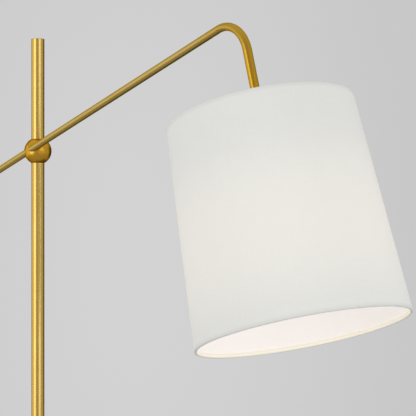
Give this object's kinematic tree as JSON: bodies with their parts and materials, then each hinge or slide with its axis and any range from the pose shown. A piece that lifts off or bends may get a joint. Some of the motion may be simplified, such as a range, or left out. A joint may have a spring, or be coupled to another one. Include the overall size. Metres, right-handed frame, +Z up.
{
  "type": "floor lamp",
  "caption": "Floor lamp with a straight pole, a boom arm crossing it through a ball clamp and bent down at its end to a tapered drum shade.",
  "frame": {"origin": "centre of the base underside, on the pole axis, on the floor", "axes": "+Z up along the pole, +X the way the boom arm points, the arm passing the pole on its -Y side"},
  "size_m": [1.2231, 0.3498, 1.6245],
  "materials": {
    "brass": "satin brushed, aged gold tone",
    "steel": "zinc plated",
    "cast_iron": "raw, painted black",
    "felt": "matte felt",
    "nylon": "natural nylon",
    "black_plastic": "moulded",
    "lead_sheath": "smooth sheath",
    "aluminium": "plain",
    "frosted_glass": "frosted, lit",
    "linen": "fine woven, matte",
    "styrene": "smooth white backing",
    "white_wire": "white coated wire"
  },
  "bodies": {
    "stand": {"base_felt": "felt", "base_weight": "cast_iron", "base_cover": "brass", "base_washer": "steel", "base_nut": "steel", "base_rod": "steel", "pole_plug": "steel", "pole_lower": "brass", "pole_joiner": "steel", "pole_upper": "brass", "pole_cap": "brass"},
    "slider": {"pole_rings": "nylon"},
    "head": {"ball": "brass", "pole_pad": "nylon", "pole_screw": "steel", "arm_pad": "nylon", "arm_screw": "steel"},
    "arm": {"arm_tube": "brass", "tail_bushing": "black_plastic", "arm_lead": "lead_sheath", "drop_insert": "steel", "drop_nipple": "steel", "socket_cap": "brass", "socket_nut": "steel", "socket_shell": "brass", "socket_core": "black_plastic", "screw_shell": "aluminium", "centre_contact": "brass", "bulb_base": "aluminium", "bulb_insulator": "black_plastic", "bulb_glass": "frosted_glass", "shade_fabric": "linen", "shade_liner": "styrene", "shade_top_ring": "white_wire", "shade_bottom_ring": "white_wire", "shade_spider": "white_wire"},
    "knob": {"switch_knob": "black_plastic"}
  },
  "joints": [
    {"name": "ball_height", "type": "slide", "parent": "stand", "child": "slider", "axis": [0, 0, 1], "range_m": [-0.4, 0.15]},
    {"name": "ball_swivel", "type": "hinge", "parent": "slider", "child": "head", "pos_m": [0, 0, 1.4], "axis": [0, 0, 1], "continuous": true},
    {"name": "arm_reach", "type": "slide", "parent": "head", "child": "arm", "axis": [0.9563, 0, 0.2924], "range_m": [-0.25, 0.1]},
    {"name": "switch_turn", "type": "hinge", "parent": "arm", "child": "knob", "pos_m": [0.74031, -0.02, 1.37276], "axis": [0, 1, 0], "continuous": true}
  ]
}
